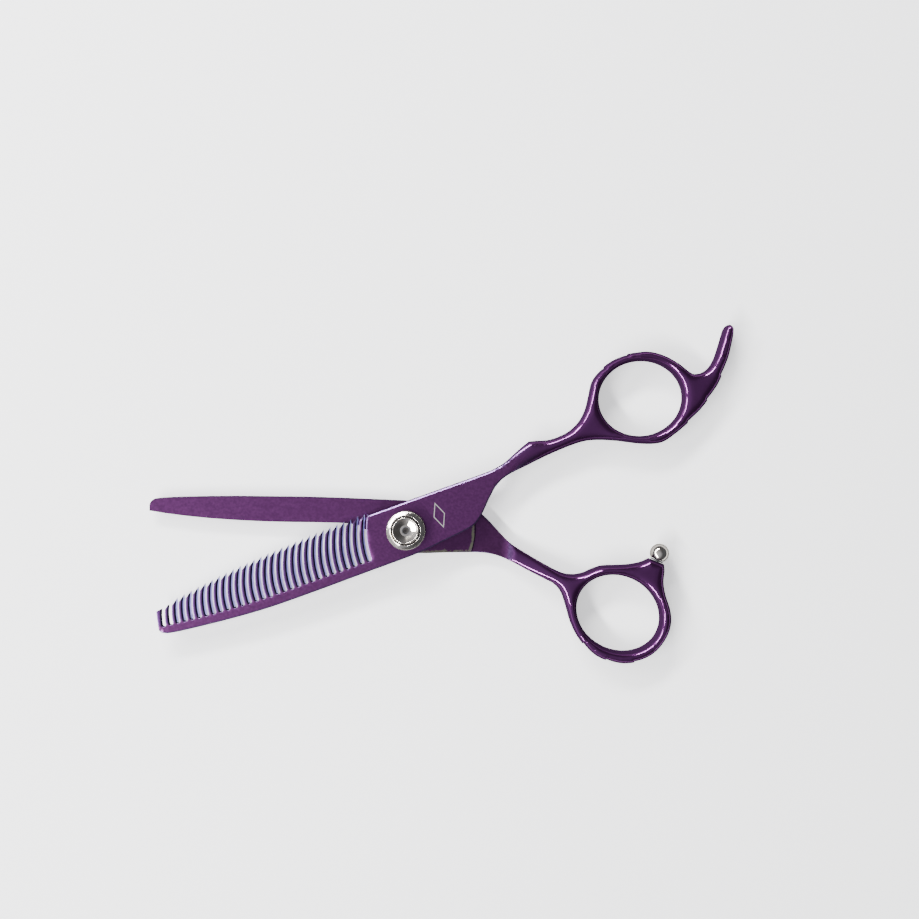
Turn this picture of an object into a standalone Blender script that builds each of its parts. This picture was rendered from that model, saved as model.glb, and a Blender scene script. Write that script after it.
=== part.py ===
"""Hair-thinning shears: a toothed half with its finger ring and tang, a plain half with its thumb
ring, the tension pivot that joins them, and the bumper that stops them when they close.

The shears lie flat. The pivot axis is Z, the origin is the middle of the pivot screw's rear face,
and the blades point to -X. Each half is drawn in its own frame, with the pivot at the origin and
its blade along -X, and is then turned to its resting angle. Lengths are in metres: MM turns
millimetres into metres.
"""

import math

import bmesh
import bpy
from mathutils import Matrix, Vector

MM = 0.001

# Driving dimensions
TOOTHED_ANGLE = math.radians(20.0)
PLAIN_ANGLE = math.radians(-5.0)
HALF_THICKNESS = 2.6 * MM
BLADE_GAP = 0.2 * MM
HANDLE_THICKNESS = 2 * HALF_THICKNESS + BLADE_GAP
EDGE_ROUND = 0.8 * MM
RIDE_RADIUS = 18.0 * MM
TOOTH_COUNT = 30
MERGE = 0.00001

# The two facing planes, and the outer faces
PLAIN_TOP = HALF_THICKNESS
TOOTHED_BOTTOM = HALF_THICKNESS + BLADE_GAP
MIDDLE = HANDLE_THICKNESS / 2

# How far the shank is relieved behind the ride, and where the full handle starts
RELIEF = 0.4 * MM
RELIEF_END = 27.5 * MM
TOOTHED_RAMP_END = 30.5 * MM
PLAIN_RAMP_END = 38 * MM

# The ramp up to the full handle bends once: this far past its halfway, and risen by this much
RAMP_BEND_PAST = 0.4 * MM
RAMP_BEND_RISE = 0.7 * MM

# The blades thin from here to their tips
TAPER_START = -9.0 * MM
BLADE_LENGTH = 70.0 * MM
TOOTHED_TIP_THICKNESS = 1.7 * MM
PLAIN_TIP_THICKNESS = 1.5 * MM
GRIND_EDGE = 1.9 * MM
GRIND_WIDTH = 5.0 * MM
GRIND_END = -14.0 * MM

# Comb
SLOT_PITCH = 1.96 * MM
SLOT_WIDTH = 1.15 * MM
SLOT_CORNER = 0.45 * MM
SLOT_CORNER_CUT = 0.3 * SLOT_CORNER
LAST_SLOT_X = -12.4 * MM
SLOT_UPRIGHT_Y = -4.0 * MM
SLOT_RADIUS_AT_PIVOT = 21.0 * MM
SLOT_RADIUS_AT_TIP = 14.0 * MM
SLOT_TOP_Y = 9.0 * MM

# Finger holes: centre, half axes and tilt, each in its half's own frame
FINGER_HOLE = ((69.9, 11.4), (11.1, 9.9), -12.8)
THUMB_HOLE = ((57.6, -17.1), (11.4, 9.7), -23.8)

# Pivot stack, from the back
HEAD_RADIUS = 3.5 * MM
HEAD_HEIGHT = 0.9 * MM
SHANK_RADIUS = 2.0 * MM
THREAD_RADIUS = 1.9 * MM
FLATS = 3.2 * MM
KEYED_HEIGHT = 2.65 * MM
SCREW_TOP = 7.4 * MM
RUNNING = 0.08 * MM
FIT = 0.1 * MM
RIDE_WASHER_RADIUS = 4.3 * MM
RIDE_WASHER_THICKNESS = 0.45 * MM
BUSH_RADIUS = 2.8 * MM
STACK_GAP = 0.06 * MM
RESTING_GAP = 0.02 * MM
BASE_WASHER_RADIUS = 4.4 * MM
BASE_WASHER_THICKNESS = 0.3 * MM
SPRING_WASHER_RADIUS = 4.2 * MM
SPRING_WASHER_THICKNESS = 0.22 * MM
SPRING_WASHER_CONE = 0.28 * MM
CLICK_PLATE_RADIUS = 4.25 * MM
CLICK_PLATE_THICKNESS = 0.3 * MM
CLICK_COUNT = 12

# Dial, cap and lock screw
DIAL_RADIUS = 5.15 * MM
DIAL_BOTTOM = HANDLE_THICKNESS + 0.15 * MM
DIAL_SHOULDER = 7.6 * MM
DIAL_TOP = 8.25 * MM
DIAL_CAVITY_RADIUS = 4.6 * MM
DIAL_FLOOR = 7.6 * MM
KNURL_COUNT = 40
KNURL_DEPTH = 0.16 * MM
CAP_RADIUS = 3.85 * MM
CAP_TOP = 8.5 * MM
CAP_HOLE = 1.05 * MM
LOCK_SCREW_RADIUS = 0.8 * MM
LOCK_SCREW_BOTTOM = 5.6 * MM
LOCK_SCREW_TOP = 7.2 * MM
HEX_RADIUS = 0.5 * MM
DETENT_RADIUS = 3.5 * MM
BALL_RADIUS = 0.28 * MM
DIMPLE_RADIUS = 0.2 * MM
DETENT_WIRE = 0.05 * MM
DETENT_TURNS = 2

# Bumper, measured up from its seat on the thumb ring
BUMPER_RADIUS = 2.5 * MM
BUMPER_CENTRE = 2.3 * MM
BUMPER_COLLAR_RADIUS = 1.75 * MM
WASHER_BOTTOM = 0.1 * MM
WASHER_TOP = 0.45 * MM
COLLAR_BOTTOM = 0.55 * MM
STUD_RADIUS = 0.8 * MM
STUD_DEPTH = 3.6 * MM
STUD_TOP = 2.4 * MM

ROUND_STEPS = 40
TURN_PER_STEP = math.radians(11.0)

# Outlines, in millimetres, as stretches that meet at corners
TOOTHED_LOWER = [
    (-70.0, -1.6), (-70.1, -2.7), (-69.2, -3.7), (-67.0, -4.4), (-60.0, -5.3), (-50.0, -6.3),
    (-40.0, -6.9), (-28.0, -7.0), (-14.0, -6.9), (0.0, -6.8), (8.0, -6.1), (14.5, -5.4),
    (17.5, -4.7), (20.2, -2.8), (23.5, 0.5), (26.5, 3.0), (30.0, 4.4), (36.0, 5.1),
    (43.0, 5.8), (50.0, 6.0), (54.5, 5.3), (60.0, 3.1), (66.0, 0.1), (70.8, -1.4),
    (75.0, -0.6), (80.0, 1.3), (85.5, 4.3), (90.5, 8.1), (94.8, 13.0), (98.0, 17.8),
    (99.2, 20.4), (98.4, 21.7), (96.9, 21.1), (94.5, 18.0), (91.8, 14.6), (89.3, 12.7),
    (86.8, 12.3), (84.8, 13.1), (82.5, 16.6), (79.6, 19.9), (76.3, 22.2), (72.5, 23.3),
    (68.8, 23.7), (64.5, 22.9), (61.5, 21.6), (59.2, 19.7), (57.3, 16.8), (55.3, 13.8),
    (52.8, 11.4), (49.5, 9.8), (46.0, 9.3), (43.0, 9.5), (40.3, 10.3), (38.4, 10.8),
]
TOOTHED_UPPER = [
    (38.4, 10.8), (36.5, 10.2), (33.5, 9.0), (30.5, 7.8), (27.5, 7.2), (24.0, 7.0),
    (10.0, 7.05), (-9.0, 7.1), (-20.0, 6.95), (-30.0, 6.5), (-40.0, 5.85), (-50.0, 4.95),
    (-60.0, 3.7), (-69.1, 2.3),
]
TOOTHED_TIP = [(-69.1, 2.3), (-69.6, 0.3), (-70.0, -1.6)]
ROOT_LINE = [(-72.0, -1.9), (-69.0, -2.2), (-60.0, -3.2), (-50.0, -4.0), (-40.0, -4.4), (-10.0, -4.5)]

PLAIN_EDGE = [
    (-68.3, -1.0), (-62.0, -1.4), (-54.0, -1.6), (-46.0, -1.5), (-38.0, -1.2), (-30.0, -0.7),
    (-22.0, -0.1), (-15.0, 0.2), (-11.5, -0.6), (-8.5, -3.0), (-5.5, -5.2), (-1.0, -6.2),
    (5.0, -5.9), (11.0, -5.2), (16.0, -4.7), (20.0, -4.4), (24.0, -4.7), (28.0, -5.9),
    (33.0, -8.0), (37.5, -9.8), (40.0, -10.9), (42.0, -12.9), (43.6, -16.4), (45.2, -20.5),
    (47.6, -24.5), (51.2, -27.9), (55.5, -29.8), (60.0, -30.2), (64.5, -29.1), (68.4, -26.2),
    (70.9, -22.2), (71.7, -18.3), (71.1, -14.8), (69.6, -11.2), (68.8, -8.0), (68.8, -5.0),
    (68.5, -3.2),
]
PLAIN_SEAT = [(68.5, -3.2), (64.5, -2.0)]
PLAIN_BACK = [
    (64.5, -2.0), (62.3, -3.2), (59.0, -4.1), (55.5, -4.6), (52.3, -5.0), (49.8, -6.0),
    (47.2, -7.4), (44.5, -8.0), (41.5, -7.7), (37.0, -5.9), (31.5, -3.3), (27.5, -1.1),
    (24.0, 1.9), (21.0, 4.6), (18.0, 6.6), (14.0, 7.4), (8.0, 7.7), (0.0, 7.6),
    (-12.0, 7.1), (-24.0, 6.5), (-36.0, 5.65), (-48.0, 4.7), (-60.0, 3.45), (-66.0, 2.6),
    (-67.6, 2.0), (-68.4, 0.8), (-68.3, -1.0),
]


# Outlines ---------------------------------------------------------------------------------------


def spline_point(before, start, end, after, t):
    """A point on the Catmull-Rom curve from start to end."""
    return 0.5 * (
        2 * start
        + (end - before) * t
        + (2 * before - 5 * start + 4 * end - after) * t * t
        + (3 * start - before - 3 * end + after) * t**3
    )


def smooth_stretch(points):
    """The stretch through the points, in metres, cut finely only where it turns."""
    knots = [Vector(p) * MM for p in points]
    if len(knots) == 2:
        return knots
    knots = [2 * knots[0] - knots[1], *knots, 2 * knots[-1] - knots[-2]]
    line = [knots[1]]
    for i in range(1, len(knots) - 2):
        before, start, end, after = knots[i - 1 : i + 3]
        turn = (end - before).angle(after - start)
        steps = 1 + int(turn / TURN_PER_STEP)
        line += [spline_point(before, start, end, after, s / steps) for s in range(1, steps + 1)]
    return line


def closed_outline(*stretches):
    """One closed outline from stretches that each start where the last one ended."""
    outline = []
    for stretch in stretches:
        outline += smooth_stretch(stretch)[:-1]
    return outline


def ellipse(centre, half_axes, tilt, steps=44):
    """A tilted ellipse, clockwise, so that it is a hole inside an anticlockwise outline."""
    turned = Matrix.Rotation(math.radians(tilt), 2)
    angles = [-2 * math.pi * i / steps for i in range(steps)]
    ring = [Vector((half_axes[0] * math.cos(a), half_axes[1] * math.sin(a))) for a in angles]
    return [(turned @ p + Vector(centre)) * MM for p in ring]


def height_on(line, x):
    """The height of a line of (x, y) points, in millimetres, above x in metres."""
    for (x0, y0), (x1, y1) in zip(line, line[1:]):
        if x0 * MM <= x <= x1 * MM:
            return (y0 + (y1 - y0) * (x / MM - x0) / (x1 - x0)) * MM
    raise ValueError(f"{x} is off the line")


def slot_outlines():
    """The gaps between the teeth: parallel arcs that stand upright at the root and lean to the pivot."""
    outlines = []
    for i in range(TOOTH_COUNT):
        x = LAST_SLOT_X - i * SLOT_PITCH
        share = i / (TOOTH_COUNT - 1)
        radius = SLOT_RADIUS_AT_PIVOT + (SLOT_RADIUS_AT_TIP - SLOT_RADIUS_AT_PIVOT) * share
        root = height_on(ROOT_LINE, x)
        levels = [root + SLOT_CORNER + (SLOT_TOP_Y - root - SLOT_CORNER) * k / 6 for k in range(7)]
        lean = [(y - SLOT_UPRIGHT_Y) ** 2 / (2 * radius) for y in levels]
        left = [Vector((x + d, y)) for d, y in zip(lean, levels)]
        right = [p + Vector((SLOT_WIDTH, 0)) for p in left]
        foot = x + lean[0]
        floor = [
            Vector((foot + SLOT_CORNER_CUT, root + SLOT_CORNER_CUT)),
            Vector((foot + SLOT_CORNER, root)),
            Vector((foot + SLOT_WIDTH - SLOT_CORNER, root)),
            Vector((foot + SLOT_WIDTH - SLOT_CORNER_CUT, root + SLOT_CORNER_CUT)),
        ]
        outlines.append(left[::-1] + floor + right)
    return outlines


# Objects ----------------------------------------------------------------------------------------


def collection(name):
    made = bpy.data.collections.new(name)
    bpy.context.scene.collection.children.link(made)
    return made


def material(name, colour, metallic, roughness):
    """A Principled material, with the colour in linear RGB."""
    made = bpy.data.materials.new(name)
    made.use_nodes = True
    shader = made.node_tree.nodes["Principled BSDF"]
    shader.inputs["Base Color"].default_value = (*colour, 1.0)
    shader.inputs["Metallic"].default_value = metallic
    shader.inputs["Roughness"].default_value = roughness
    return made


def link(name, data, into):
    obj = bpy.data.objects.new(name, data)
    into.objects.link(obj)
    return obj


def curve_object(name, outlines, into, low, high, rounding=0.0, resolution=1):
    """A flat outline with a thickness from low to high, and rounded rims inside the outline."""
    curve = bpy.data.curves.new(name, "CURVE")
    curve.dimensions = "2D"
    curve.fill_mode = "BOTH"
    curve.extrude = (high - low) / 2 - rounding
    curve.bevel_depth = rounding
    curve.bevel_resolution = resolution
    curve.offset = -rounding
    for outline in outlines:
        spline = curve.splines.new("POLY")
        spline.points.add(len(outline) - 1)
        for point, place in zip(spline.points, outline):
            point.co = (*place, 0.0, 1.0)
        spline.use_cyclic_u = True
    obj = link(name, curve, into)
    obj.location.z = (low + high) / 2
    return obj


def as_mesh(obj):
    """The curve object as a mesh object of the same name, with its caps welded on."""
    bpy.context.view_layer.update()
    graph = bpy.context.evaluated_depsgraph_get()
    mesh = bpy.data.meshes.new_from_object(obj.evaluated_get(graph))
    mesh.transform(obj.matrix_world)
    name, into = obj.name, obj.users_collection[0]
    bpy.data.objects.remove(obj)
    shape = bmesh.new()
    shape.from_mesh(mesh)
    bmesh.ops.remove_doubles(shape, verts=shape.verts, dist=MERGE)
    bmesh.ops.recalc_face_normals(shape, faces=shape.faces)
    shape.to_mesh(mesh)
    shape.free()
    return link(name, mesh, into)


def plate(name, outlines, into, low, high, rounding=0.0):
    return as_mesh(curve_object(name, outlines, into, low, high, rounding))


def cylinder(name, radius, low, high, into, x=0.0, y=0.0, steps=ROUND_STEPS):
    shape = bmesh.new()
    bmesh.ops.create_cone(
        shape, cap_ends=True, segments=steps, radius1=radius, radius2=radius, depth=high - low
    )
    bmesh.ops.translate(shape, verts=shape.verts, vec=(x, y, (low + high) / 2))
    mesh = bpy.data.meshes.new(name)
    shape.to_mesh(mesh)
    shape.free()
    return link(name, mesh, into)


def block(name, low, high, into):
    """A box between two corners."""
    low, high = Vector(low), Vector(high)
    shape = bmesh.new()
    bmesh.ops.create_cube(shape, size=1.0)
    bmesh.ops.scale(shape, verts=shape.verts, vec=high - low)
    bmesh.ops.translate(shape, verts=shape.verts, vec=(low + high) / 2)
    mesh = bpy.data.meshes.new(name)
    shape.to_mesh(mesh)
    shape.free()
    return link(name, mesh, into)


def turned(name, profile, into, steps=ROUND_STEPS):
    """A turned piece about Z. The profile of (radius, z) runs down its outer side, top to bottom."""
    mesh = bpy.data.meshes.new(name)
    points = [(r, 0.0, z) for r, z in profile]
    closed = profile[0][0] > 0
    edges = [(i, i + 1) for i in range(len(points) - 1)]
    if closed:
        edges.append((len(points) - 1, 0))
    mesh.from_pydata(points, edges, [])
    obj = link(name, mesh, into)
    screw = obj.modifiers.new("Turn", "SCREW")
    screw.steps = steps
    screw.render_steps = steps
    screw.use_merge_vertices = True
    screw.merge_threshold = MERGE
    return obj


def cut(obj, cutter, operation="DIFFERENCE"):
    """Cuts obj with the cutter at once, and hides the cutter."""
    modifier = obj.modifiers.new(cutter.name, "BOOLEAN")
    modifier.operation = operation
    modifier.object = cutter
    bpy.context.view_layer.update()
    graph = bpy.context.evaluated_depsgraph_get()
    mesh = bpy.data.meshes.new_from_object(obj.evaluated_get(graph))
    obj.modifiers.clear()
    obj.data = mesh
    cutter.hide_render = True
    cutter.display_type = "WIRE"


def finish(obj, finish_material, parent=None):
    """Gives the piece its material, shades it smooth and hangs it on its frame."""
    obj.data.materials.clear()
    obj.data.materials.append(finish_material)
    if obj.type == "MESH":
        obj.data.shade_smooth()
        obj.data.set_sharp_from_angle(angle=math.radians(35.0))
    obj.parent = parent


# Halves -----------------------------------------------------------------------------------------


def slab(name, profile, low, high, turn, into):
    """A bar with the profile as its section, from low to high along the axis that turn gives it."""
    obj = curve_object(name, [[Vector(p) for p in profile]], into, low, high)
    obj.matrix_world = turn @ Matrix.Translation((0.0, 0.0, (low + high) / 2))
    return as_mesh(obj)


def slab_across(name, profile, into):
    """A cutter with an (x, z) profile, reaching across the whole width."""
    return slab(name, profile, -60 * MM, 60 * MM, Matrix.Rotation(math.pi / 2, 4, "X"), into)


def cut_facing_side(half, plane, up, ramp_end, tools):
    """Cuts the blade, the ride and the relieved shank down to the facing plane.

    up is 1 where the material to remove lies above the plane, and -1 where it lies below. From
    ramp_end on the half keeps its whole thickness.
    """
    beyond = plane + up * 6 * MM
    relieved = plane - up * RELIEF
    outside = MIDDLE + up * (MIDDLE + 0.2 * MM)
    far = -BLADE_LENGTH - 10 * MM
    ramp_bend = (RELIEF_END + ramp_end) / 2 + RAMP_BEND_PAST
    blade = slab_across(
        half.name + "_facing",
        [(far, plane), (RELIEF_END, plane), (RELIEF_END, beyond), (far, beyond)],
        tools,
    )
    shank = slab_across(
        half.name + "_relief",
        [
            (0.0, relieved),
            (RELIEF_END, relieved),
            (ramp_bend, relieved + up * RAMP_BEND_RISE),
            (ramp_end, outside),
            (ramp_end, beyond),
            (0.0, beyond),
        ],
        tools,
    )
    ride = cylinder(half.name + "_ride", RIDE_RADIUS, -10 * MM, 20 * MM, tools, steps=72)
    cut(shank, ride)
    cut(half, blade)
    cut(half, shank)


def cut_taper(half, outer, tip_level, up, tools):
    """Thins the blade from its outer face, evenly from the pivot to the tip."""
    beyond = outer + up * 4 * MM
    over = 10 * MM
    slope = (tip_level - outer) / (-BLADE_LENGTH - TAPER_START)
    far = -BLADE_LENGTH - over
    far_level = outer + slope * (far - TAPER_START)
    profile = [(TAPER_START, outer), (TAPER_START, beyond), (far, beyond), (far, far_level)]
    cut(half, slab_across(half.name + "_taper", profile, tools))


def toothed_half(parts, tools):
    hole = ellipse(*FINGER_HOLE)
    outline = closed_outline(TOOTHED_LOWER, TOOTHED_UPPER, TOOTHED_TIP)
    half = plate("toothed_half", [outline, hole], parts, 0.0, HANDLE_THICKNESS, EDGE_ROUND)
    cut_facing_side(half, TOOTHED_BOTTOM, -1, TOOTHED_RAMP_END, tools)
    tip_level = TOOTHED_BOTTOM + TOOTHED_TIP_THICKNESS
    cut_taper(half, HANDLE_THICKNESS, tip_level, 1, tools)
    cut(half, plate("slots", slot_outlines(), tools, -1 * MM, 8 * MM))
    recess_top = TOOTHED_BOTTOM + RIDE_WASHER_THICKNESS
    recess = cylinder("washer_recess", RIDE_WASHER_RADIUS + FIT, 0.0, recess_top, tools)
    cut(half, recess)
    cut(half, cylinder("bush_hole", BUSH_RADIUS + FIT, 0.0, 8 * MM, tools))
    return half


def plain_half(parts, tools):
    hole = ellipse(*THUMB_HOLE)
    outline = closed_outline(PLAIN_EDGE, PLAIN_SEAT, PLAIN_BACK)
    half = plate("plain_half", [outline, hole], parts, 0.0, HANDLE_THICKNESS, EDGE_ROUND)
    cut_facing_side(half, PLAIN_TOP, 1, PLAIN_RAMP_END, tools)
    cut_taper(half, 0.0, PLAIN_TOP - PLAIN_TIP_THICKNESS, -1, tools)
    cut(half, grind_cutter(tools))
    cut(half, cylinder("head_recess", HEAD_RADIUS + FIT, -1 * MM, HEAD_HEIGHT + FIT, tools))
    keyway = cylinder("keyway", SHANK_RADIUS + FIT, 0.0, 4 * MM, tools)
    reach = 5 * MM
    width = FLATS / 2 + FIT
    cut(keyway, block("keyway_flats", (-reach, -width, -reach), (reach, width, reach), tools), "INTERSECT")
    cut(half, keyway)
    stud_hole = cylinder("stud_hole", STUD_RADIUS + FIT, -STUD_DEPTH - FIT, 2 * MM, tools, steps=20)
    stud_hole.data.transform(bumper_frame())
    cut(half, stud_hole)
    return half


def grind_cutter(tools):
    """The bevel on the blade's outer side, which thins it to the cutting edge."""
    edge = PLAIN_EDGE[2][1] * MM
    reach = 3 * MM
    outside = edge - reach
    below = -2 * MM
    section = [
        (outside, GRIND_EDGE * (1 + reach / GRIND_WIDTH)),
        (outside, below),
        (edge + GRIND_WIDTH, below),
        (edge + GRIND_WIDTH, 0.0),
        (edge, GRIND_EDGE),
    ]
    along_x = Matrix(((0, 0, 1, 0), (1, 0, 0, 0), (0, 1, 0, 0), (0, 0, 0, 1)))
    return slab("grind", section, -BLADE_LENGTH - 5 * MM, GRIND_END, along_x, tools)


# Pivot ------------------------------------------------------------------------------------------


def flatten(obj, low, high, tools):
    """Two flats, FLATS apart, on a round bar from low to high."""
    reach = 12 * MM
    for side in (-1, 1):
        near, far = sorted((side * FLATS / 2, side * reach))
        name = f"{obj.name}_flat_{side}_{round(low / MM)}"
        cut(obj, block(name, (-reach, near, low), (reach, far, high), tools))


def pivot_screw(parts, tools):
    """A flat head in the plain half's back, a keyed neck, a round bearing length and a thread."""
    chamfer = 0.25 * MM
    screw = turned(
        "pivot_screw",
        [
            (0.0, SCREW_TOP),
            (THREAD_RADIUS - chamfer, SCREW_TOP),
            (THREAD_RADIUS, SCREW_TOP - chamfer),
            (THREAD_RADIUS, HANDLE_THICKNESS),
            (SHANK_RADIUS, HANDLE_THICKNESS),
            (SHANK_RADIUS, HEAD_HEIGHT),
            (HEAD_RADIUS, HEAD_HEIGHT),
            (HEAD_RADIUS, 0.0),
            (0.0, 0.0),
        ],
        parts,
    )
    flatten(screw, HEAD_HEIGHT, KEYED_HEIGHT, tools)
    flatten(screw, spring_washer_top(), SCREW_TOP + MM, tools)
    bore = cylinder(
        "lock_bore", LOCK_SCREW_RADIUS + RUNNING, LOCK_SCREW_BOTTOM - FIT, 9 * MM, tools, steps=24
    )
    cut(screw, bore)
    return screw


def base_washer_bottom():
    return HANDLE_THICKNESS + STACK_GAP


def spring_washer_bottom():
    return base_washer_bottom() + BASE_WASHER_THICKNESS + STACK_GAP


def spring_washer_top():
    return spring_washer_bottom() + SPRING_WASHER_THICKNESS + SPRING_WASHER_CONE


def click_plate_top():
    return spring_washer_top() + STACK_GAP + CLICK_PLATE_THICKNESS


def ring(name, inner, outer, low, high, parts):
    """A flat turned ring."""
    return turned(name, [(inner, high), (outer, high), (outer, low), (inner, low)], parts)


def ride_washer(parts):
    low = PLAIN_TOP + 0.07 * MM
    return ring(
        "ride_washer", SHANK_RADIUS + RUNNING, RIDE_WASHER_RADIUS, low, low + RIDE_WASHER_THICKNESS, parts
    )


def pivot_bush(parts):
    low = TOOTHED_BOTTOM + RIDE_WASHER_THICKNESS + STACK_GAP
    high = HANDLE_THICKNESS - STACK_GAP
    return ring("pivot_bush", SHANK_RADIUS + RUNNING, BUSH_RADIUS, low, high, parts)


def base_washer(parts):
    low = base_washer_bottom()
    high = low + BASE_WASHER_THICKNESS
    return ring("base_washer", SHANK_RADIUS + RUNNING, BASE_WASHER_RADIUS, low, high, parts)


def spring_washer(parts):
    """A shallow cone, higher at its inner rim."""
    low = spring_washer_bottom()
    inner = SHANK_RADIUS + RUNNING
    thick = SPRING_WASHER_THICKNESS
    return turned(
        "spring_washer",
        [
            (inner, low + SPRING_WASHER_CONE + thick),
            (SPRING_WASHER_RADIUS, low + thick),
            (SPRING_WASHER_RADIUS, low),
            (inner, low + SPRING_WASHER_CONE),
        ],
        parts,
    )


def click_plate(parts, tools):
    """A thin plate keyed to the screw's flats, with a ring of dimples for the detent ball."""
    high = click_plate_top()
    low = high - CLICK_PLATE_THICKNESS
    plate_body = cylinder("click_plate", CLICK_PLATE_RADIUS, low, high, parts)
    keyhole = cylinder("keyhole", SHANK_RADIUS + FIT, 0.0, 9 * MM, tools)
    reach = 5 * MM
    width = FLATS / 2 + RUNNING
    flats = block("keyhole_flats", (-reach, -width, -reach), (reach, width, 10 * MM), tools)
    cut(keyhole, flats, "INTERSECT")
    cut(plate_body, keyhole)
    for i in range(CLICK_COUNT):
        angle = 2 * math.pi * i / CLICK_COUNT
        x, y = DETENT_RADIUS * math.cos(angle), DETENT_RADIUS * math.sin(angle)
        dimple = cylinder(f"dimple_{i}", DIMPLE_RADIUS, low - MM, high + MM, tools, x, y, steps=10)
        cut(plate_body, dimple)
    return plate_body


def tension_dial(parts, tools):
    """A knurled cup nut: a thread in its floor, a cavity for the washers below, a seat for the cap above."""
    bore = THREAD_RADIUS + FIT
    cavity_top = click_plate_top() + STACK_GAP
    cap_wall = CAP_RADIUS + RUNNING
    dial = turned(
        "tension_dial",
        [
            (cap_wall, DIAL_TOP),
            (cap_wall + 0.1 * MM, DIAL_TOP),
            (DIAL_RADIUS, DIAL_SHOULDER),
            (DIAL_RADIUS, DIAL_BOTTOM + 0.2 * MM),
            (DIAL_RADIUS - 0.2 * MM, DIAL_BOTTOM),
            (DIAL_CAVITY_RADIUS, DIAL_BOTTOM),
            (DIAL_CAVITY_RADIUS, cavity_top),
            (bore, cavity_top),
            (bore, DIAL_FLOOR),
            (cap_wall, DIAL_FLOOR),
        ],
        parts,
        steps=KNURL_COUNT,
    )
    for i in range(KNURL_COUNT):
        angle = 2 * math.pi * (i + 0.5) / KNURL_COUNT
        x, y = DIAL_RADIUS * math.cos(angle), DIAL_RADIUS * math.sin(angle)
        flute = cylinder(f"flute_{i}", KNURL_DEPTH, 0.0, 9 * MM, tools, x, y, steps=6)
        cut(dial, flute)
    pocket = cylinder("pocket", BALL_RADIUS + RUNNING, 0.0, DIAL_TOP, tools, DETENT_RADIUS, steps=16)
    cut(dial, pocket)
    return dial


def dial_cap(parts):
    """The polished insert in the dial: a rounded rim round a dish with a hole in the middle."""
    low = DIAL_FLOOR + STACK_GAP
    rim = 3.35 * MM
    dish = [
        (rim - 0.3 * MM, CAP_TOP - 0.12 * MM),
        (2.2 * MM, CAP_TOP - 0.42 * MM),
        (CAP_HOLE, CAP_TOP - 0.6 * MM),
    ]
    return turned(
        "dial_cap",
        [
            (rim, CAP_TOP),
            (CAP_RADIUS - 0.12 * MM, CAP_TOP - 0.06 * MM),
            (CAP_RADIUS, CAP_TOP - 0.2 * MM),
            (CAP_RADIUS, low),
            (CAP_HOLE, low),
            *dish[::-1],
        ],
        parts,
    )


def lock_screw(parts, tools):
    """A grub screw in the end of the pivot screw, with a hexagon socket."""
    chamfer = 0.12 * MM
    screw = turned(
        "lock_screw",
        [
            (0.0, LOCK_SCREW_TOP),
            (LOCK_SCREW_RADIUS - chamfer, LOCK_SCREW_TOP),
            (LOCK_SCREW_RADIUS, LOCK_SCREW_TOP - chamfer),
            (LOCK_SCREW_RADIUS, LOCK_SCREW_BOTTOM),
            (0.0, LOCK_SCREW_BOTTOM),
        ],
        parts,
        steps=24,
    )
    socket_floor = LOCK_SCREW_TOP - 0.7 * MM
    cut(screw, cylinder("hex_socket", HEX_RADIUS, socket_floor, 9 * MM, tools, steps=6))
    return screw


def detent_ball(parts):
    """It rests in a dimple of the click plate, and its pocket in the dial keeps it there."""
    shape = bmesh.new()
    bmesh.ops.create_uvsphere(shape, u_segments=14, v_segments=8, radius=BALL_RADIUS)
    centre = click_plate_top() + RESTING_GAP + BALL_RADIUS
    bmesh.ops.translate(shape, verts=shape.verts, vec=(DETENT_RADIUS, 0.0, centre))
    mesh = bpy.data.meshes.new("detent_ball")
    shape.to_mesh(mesh)
    shape.free()
    return link("detent_ball", mesh, parts)


def detent_spring(parts):
    """A small coil spring between the ball and the cap that closes the pocket."""
    curve = bpy.data.curves.new("detent_spring", "CURVE")
    curve.dimensions = "3D"
    curve.bevel_depth = DETENT_WIRE
    curve.bevel_resolution = 1
    curve.use_fill_caps = True
    low = click_plate_top() + 2 * (RESTING_GAP + BALL_RADIUS) + DETENT_WIRE
    high = DIAL_FLOOR + STACK_GAP - RESTING_GAP - DETENT_WIRE
    radius = BALL_RADIUS + RUNNING - RESTING_GAP - DETENT_WIRE
    per_turn = 12
    last = DETENT_TURNS * per_turn
    spline = curve.splines.new("POLY")
    spline.points.add(last)
    for i, point in enumerate(spline.points):
        angle = 2 * math.pi * i / per_turn
        x = DETENT_RADIUS + radius * math.cos(angle)
        point.co = (x, radius * math.sin(angle), low + (high - low) * i / last, 1.0)
    return link("detent_spring", curve, parts)


# Bumper -----------------------------------------------------------------------------------------


def bumper_frame():
    """Turns a piece made about Z so that it stands on the middle of the thumb ring's seat."""
    right, left = (Vector(p) * MM for p in PLAIN_SEAT)
    along = right - left
    seat = (right + left) / 2
    lie_down = Matrix.Rotation(math.pi / 2, 4, "Y")
    point = Matrix.Rotation(math.atan2(along.y, along.x) + math.pi / 2, 4, "Z")
    return Matrix.Translation((*seat, MIDDLE)) @ point @ lie_down


def bumper_head(parts):
    """A ball that is cut flat below, with a blind hole for the stud."""
    hole = STUD_RADIUS + FIT
    hole_top = STUD_TOP + FIT
    end = -math.acos(BUMPER_COLLAR_RADIUS / BUMPER_RADIUS)
    steps = 14
    ball = []
    for i in range(1, steps + 1):
        angle = math.pi / 2 + (end - math.pi / 2) * i / steps
        height = BUMPER_CENTRE + BUMPER_RADIUS * math.sin(angle)
        ball.append((BUMPER_RADIUS * math.cos(angle), height))
    profile = [
        (0.0, BUMPER_CENTRE + BUMPER_RADIUS),
        *ball,
        (BUMPER_COLLAR_RADIUS, COLLAR_BOTTOM),
        (hole, COLLAR_BOTTOM),
        (hole, hole_top),
        (0.0, hole_top),
    ]
    return turned("bumper_head", profile, parts, steps=28)


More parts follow.
